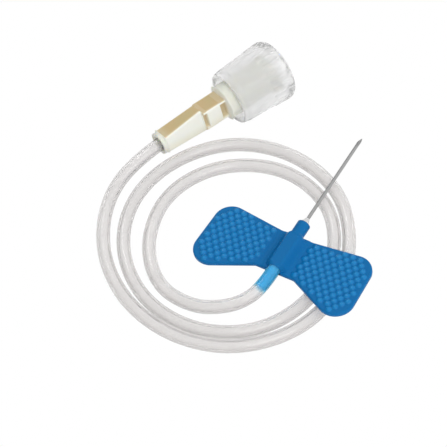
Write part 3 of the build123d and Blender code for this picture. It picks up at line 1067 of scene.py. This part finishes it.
@dataclass
class LuerHub:
    """The ivory luer hub: collar, flaring stem, grip with side pockets, barrel with two lugs."""

    length: float = 25.4 * MM
    visible: float = 15.9 * MM
    collar: float = 2.15 * MM
    collar_length: float = 0.9 * MM
    stem: float = 3.4 * MM
    stem_width: float = 2.7 * MM
    stem_height: float = 4.9 * MM
    grip_start: float = 9.3 * MM
    grip: float = 4.1 * MM
    barrel_start: float = 14.4 * MM
    pockets: tuple[Span, ...] = ((9.3 * MM, 10.1 * MM), (13.0 * MM, 14.2 * MM))
    pocket_web: float = 2.5 * MM
    pocket_wall: float = 0.4 * MM
    pocket_edge: float = 0.12 * MM
    barrel: float = 3.35 * MM
    lug: float = 0.55 * MM
    lug_start: float = 24.1 * MM
    lug_edge: float = 0.25 * MM
    lug_turn: float = 1.22
    lug_flank: float = 0.12
    socket_radius: float = 1.27 * MM
    socket_depth: float = 5.0 * MM
    passage: float = 0.75 * MM
    mouth: float = 2.135 * MM
    throat: float = 1.895 * MM
    taper_depth: float = 8.0 * MM
    roll: float = -20.0
    around: int = 256
    step: float = 0.09 * MM
    square_power: float = 11.0
    change: float = 0.16 * MM
    depth: IvoryPaintedShade = IvoryPaintedShade()

    def sections(self) -> tuple[Points, Points, Points, Points]:
        """Heights along the axis, the section's half width and half height there, and its power.

        The power of the section is 2 where it is round and large where it is four-sided.
        """
        heights = np.arange(0.0, self.length + self.step / 2, self.step)
        starts = (self.collar_length, self.grip_start, self.barrel_start)
        past = [smoothstep(heights, at - self.change, at + self.change) for at in starts]
        in_collar, in_grip, in_barrel = 1.0 - past[0], past[1], past[2]
        stem_length = self.grip_start - self.collar_length
        along = np.clip((heights - self.collar_length) / stem_length, 0.0, 1.0)
        halves = []
        for front in (self.stem_width, self.stem_height):
            size = between(between(self.stem, front, along), self.grip, in_grip)
            for share, radius in ((in_collar, self.collar), (in_barrel, self.barrel)):
                size = between(size, 2 * radius, share)
            halves.append(size / 2)
        power = 2.0 + (self.square_power - 2.0) * (1.0 - in_collar) * (1.0 - in_barrel)
        return heights, halves[0], halves[1], power

    def outside(self, angles: Points) -> tuple[Points, Points]:
        """Heights and radii of the outside: a rounded box that turns round at both ends.

        The radius is the inverse of the power mean of the cosine over the half width and the
        sine over the half height. The pockets cut it back to a web, and two lugs stand on it.
        """
        heights, half_width, half_height, power = self.sections()
        half_width, half_height, power = half_width[:, None], half_height[:, None], power[:, None]
        cosine, sine = np.abs(np.cos(angles))[None, :], np.abs(np.sin(angles))[None, :]
        total = (cosine / half_width) ** power + (sine / half_height) ** power
        radii = total ** (-1.0 / power)
        across, up = radii * cosine, radii * sine
        soft = self.pocket_edge
        wall = up - (half_height - self.pocket_wall)
        open_side = 1.0 - smoothstep(wall, -soft, 0.0)
        for start, end in self.pockets:
            inside = smoothstep(heights, start, start + soft)
            inside = inside * (1.0 - smoothstep(heights, end - soft, end))
            shrink = np.minimum(self.pocket_web / 2 / np.maximum(across, 1e-9), 1.0)
            radii = radii * (1.0 - (1.0 - shrink) * open_side * inside[:, None])
        turn = np.mod(angles, np.pi)
        sector = smoothstep(turn, 0.0, self.lug_flank)
        sector = sector * (1.0 - smoothstep(turn, self.lug_turn - self.lug_flank, self.lug_turn))
        lug = smoothstep(heights, self.lug_start, self.lug_start + self.lug_edge)
        return heights, radii + self.lug * lug[:, None] * sector[None, :]

    def build(self, place: AxisFrame) -> bpy.types.Object:
        """The outside from rear to mouth, then the bore back to the socket."""
        angles = ring(self.around)
        heights, radii = self.outside(angles)
        bore = [
            (self.length, self.mouth),
            (self.length - self.taper_depth, self.throat),
            (self.length - self.taper_depth, self.passage),
            (self.socket_depth, self.passage),
            (self.socket_depth, self.socket_radius),
            (0.0, self.socket_radius),
        ]
        bore_heights, bore_radii = stepped(bore, 4 * self.step, 1)
        heights = np.concatenate([heights, bore_heights])
        radii = np.vstack([radii, bore_radii[:, None] * np.ones(self.around)])
        rolled = place.rolled(np.radians(self.roll))
        piece = grid_object("luer_body", turned(radii, heights, angles, rolled), wrap_rows=True)
        self.paint(piece, rolled)
        return piece

    def paint(self, piece: bpy.types.Object, place: AxisFrame) -> None:
        """Keeps painted shade and light: shaded tan behind the plain faces and on the pockets'
        floors, lit near white behind the pocketed ones.

        Args:
            piece: the luer hub's body.
            place: the hub's own axis and the directions across its four faces.
        """
        depth = self.depth
        local = vertex_values(piece.data, "co") - place.origin
        sideways = np.abs(vertex_values(piece.data, "normal") @ place.across)
        height = local @ place.along
        across = np.abs(local @ place.across)
        up = local @ place.up
        stations, half_width, half_height, _ = self.sections()
        to_edge = np.interp(height, stations, half_width) - across
        below_edge = np.interp(height, stations, half_height) - up
        # Painted shade and light: tan on the plain faces, near white on the pocketed ones, lighter
        # near the edges and the rear, tan on the pocket floors.
        painted_shade = 1.0 - smoothstep(sideways, *depth.plain_face)
        painted_shade = painted_shade * between(depth.rim, 1.0, smoothstep(to_edge, 0.0, depth.rim_reach))
        painted_shade = painted_shade * between(depth.rear, 1.0, smoothstep(height, 0.0, depth.rear_reach))
        upper = 1.0 - smoothstep(below_edge, *depth.upper_reach)
        painted_shade = painted_shade + depth.upper * smoothstep(sideways, *depth.pocketed_face) * upper
        for start, end in self.pockets:
            in_pocket = (height > start) & (height < end)
            floor = in_pocket & (across < self.grip / 2 - depth.pocket_lip)
            painted_shade = np.where(floor, depth.pocket, painted_shade)
        in_barrel = smoothstep(height, self.barrel_start - depth.barrel_edge, self.barrel_start)
        ends = np.maximum(in_barrel, height < self.collar_length)
        in_cap = smoothstep(height, self.visible, self.visible + depth.clear_edge)
        clear = ends * between(depth.clear_shown, 1.0, in_cap)
        keep_values(piece.data, depth=between(painted_shade, depth.barrel, ends), clear=clear)


@dataclass
class Cap:
    """The clear cap: a ribbed sleeve with a thread inside, a closed end and a tapered plug."""

    length: float = 11.8 * MM
    rim: float = 5.25 * MM
    rim_length: float = 0.9 * MM
    shoulder: float = 5.45 * MM
    shoulder_rise: float = 0.2 * MM
    end: float = 5.89 * MM
    end_edge: float = 1.3 * MM
    edge_corner: float = 0.29
    mouth_edge: float = 0.3 * MM
    bore: float = 4.2 * MM
    wall: float = 1.4 * MM
    plug_tip: float = 1.890 * MM
    plug_base: float = 2.112 * MM
    plug_length: float = 7.4 * MM
    core: float = 1.1 * MM
    core_depth: float = 6.5 * MM
    ribs: int = 24
    rib_height: float = 0.12 * MM
    rib_start: float = 6.6 * MM
    rib_rise: float = 0.6 * MM
    rib_fall: float = 0.8 * MM
    rib_flank: Span = (0.2, 0.8)
    thread: float = 0.18 * MM
    thread_lead: float = 5.0 * MM
    thread_start: float = 1.0 * MM
    thread_rise: float = 1.0 * MM
    thread_half: float = 0.7
    bore_near: float = 0.05 * MM
    around: int = 240
    step: float = 0.17 * MM

    def build(self, place: AxisFrame) -> bpy.types.Object:
        """The cap's outline, from the middle of its core round to the middle of its plug."""
        inner_end = self.length - self.wall
        corner = self.edge_corner * self.end_edge
        outline = [
            (self.length - self.core_depth, 0.0),
            (self.length - self.core_depth, self.core),
            (self.length, self.core),
            (self.length, self.end - self.end_edge),
            (self.length - corner, self.end - corner),
            (self.length - self.end_edge, self.end),
            (self.rim_length + self.shoulder_rise, self.shoulder),
            (self.rim_length, self.rim),
            (0.0, self.rim),
            (0.0, self.bore + self.mouth_edge),
            (self.mouth_edge, self.bore),
            (inner_end, self.bore),
            (inner_end, self.plug_base),
            (inner_end - self.plug_length, self.plug_tip),
            (inner_end - self.plug_length, 0.0),
        ]
        heights, radii = stepped(outline, self.step, 2)
        radii[0] = radii[-1] = 0.0
        angles = ring(self.around)
        outside = radii > (self.bore + self.rim) / 2
        rib_end = self.length - self.end_edge
        long_way = smoothstep(heights, self.rib_start, self.rib_start + self.rib_rise)
        long_way = long_way * (1.0 - smoothstep(heights, rib_end, rib_end + self.rib_fall))
        crests = smoothstep(np.cos(self.ribs * angles), *self.rib_flank)
        ribbed = np.where(outside, long_way, 0.0)[:, None] * crests
        shape = radii[:, None] + self.rib_height * ribbed
        bore_wall = (np.abs(radii - self.bore) < self.bore_near) & (heights > self.thread_start)
        phase = np.mod(heights[:, None] / self.thread_lead * 2 * np.pi - angles, np.pi) - np.pi / 2
        thread_full = self.thread_start + self.thread_rise
        grown = smoothstep(heights, self.thread_start, thread_full)[:, None]
        ridge = bell(phase, 0.0, self.thread_half) * grown
        shape = shape - np.where(bore_wall[:, None], self.thread * ridge, 0.0)
        return grid_object("screw_cap", turned(shape, heights, angles, place), close_ends=False)


def luer_frame() -> AxisFrame:
    """The luer hub's axis, from the middle of its rear face towards its mouth."""
    mount = next(m for m in frame["record"]["mounts"] if m["name"] == "luer_mouth")
    along = np.array(mount["axis"])
    along = along / np.linalg.norm(along)
    across = np.cross(along, np.array([0.0, 0.0, 1.0]))
    across /= np.linalg.norm(across)
    origin = np.array(mount["pos_m"]) - along * LuerHub().length
    return AxisFrame(origin, across, np.cross(along, across), along)


def dress(piece: bpy.types.Object, material: bpy.types.Material) -> bpy.types.Object:
    """Gives a piece its one material."""
    piece.data.materials.clear()
    piece.data.materials.append(material)
    LOG.info("%s: %d faces", piece.name, len(piece.data.polygons))
    return piece


def main() -> None:
    """Builds the needle set piece by piece, and puts each piece but the wings on its body."""
    logging.basicConfig(level=logging.INFO, format="%(name)s %(message)s")
    Studio().build()
    hub = hub_frame()
    right, _, up = np.eye(3)
    level = AxisFrame(hub.origin, right, up, hub.along)
    vinyl = BlueVinyl().material()

    for side, body in ((Side.LEFT, Body.LEFT_WING), (Side.RIGHT, Body.RIGHT_WING)):
        wing = Wing(side)
        skin = dress(wing.build(hub), vinyl)
        middle = wing.under + wing.thickness / 2
        near = hub.world(np.array([side.value * (wing.fold - wing.fold_web), middle, 0.0]))
        far = hub.world(np.array([side.value * (wing.fold + wing.fold_web), middle, 0.0]))
        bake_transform(skin)
        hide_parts(body.value)

    saddle = dress(Saddle().build(hub), vinyl)
    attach(saddle, Body.ROOT.value)
    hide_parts("wing_hub")

    low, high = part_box("cannula")
    rear, point = low.y - hub.origin[1], high.y - hub.origin[1] + Needle.point_reach
    needle = dress(Needle().build(level, rear, point), DrawnSteel().material())
    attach(needle, Body.ROOT.value)
    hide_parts("cannula")

    cured = ClearPlastic(
        "clear_adhesive", tint=(0.98, 0.98, 0.98), roughness=0.3, transmission=0.35
    )
    bead = dress(Bead().build(level), cured.material())
    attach(bead, Body.ROOT.value)
    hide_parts("adhesive_bead")

    luer = luer_frame()
    luer_hub = LuerHub()
    luer_body = dress(luer_hub.build(luer), IvoryPlastic().material())
    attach(luer_body, Body.ROOT.value)
    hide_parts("luer_hub")

    cap_start = luer.world(np.array([0.0, 0.0, luer_hub.visible]))
    mouth = AxisFrame(cap_start, luer.across, luer.up, luer.along)
    clear_cap = ClearPlastic(
        "clear_cap", tint=(1.0, 1.0, 1.0), roughness=0.15, transmission=0.72, ior=1.25
    )
    cap = dress(Cap().build(mouth), clear_cap.material())
    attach(cap, Body.CAP.value)
    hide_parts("cap")

    soft = SoftTube()
    line = soft.centre_line(hub, luer)
    clear_tube = SoftVinyl(
        "clear_vinyl", tint=(1.0, 0.988, 0.985), roughness=0.11, transmission=0.8, ior=1.4
    )
    tube = dress(soft.build(line), clear_tube.material())
    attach(tube, Body.ROOT.value)
    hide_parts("tube")
    # The spigot is the hub's blue vinyl painted much paler, as painted light where the clear tube
    # lies over it.
    pale = BlueVinyl(name="lit_blue_vinyl", shaded_valley=(0.06, 0.60, 1.0), crown=(0.06, 0.60, 1.0))
    spigot = dress(soft.build_spigot(line), pale.material())
    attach(spigot, Body.ROOT.value)
    LOG.info("tube length %.4f m", travelled(line)[-1])


if __name__ == "__main__":
    main()
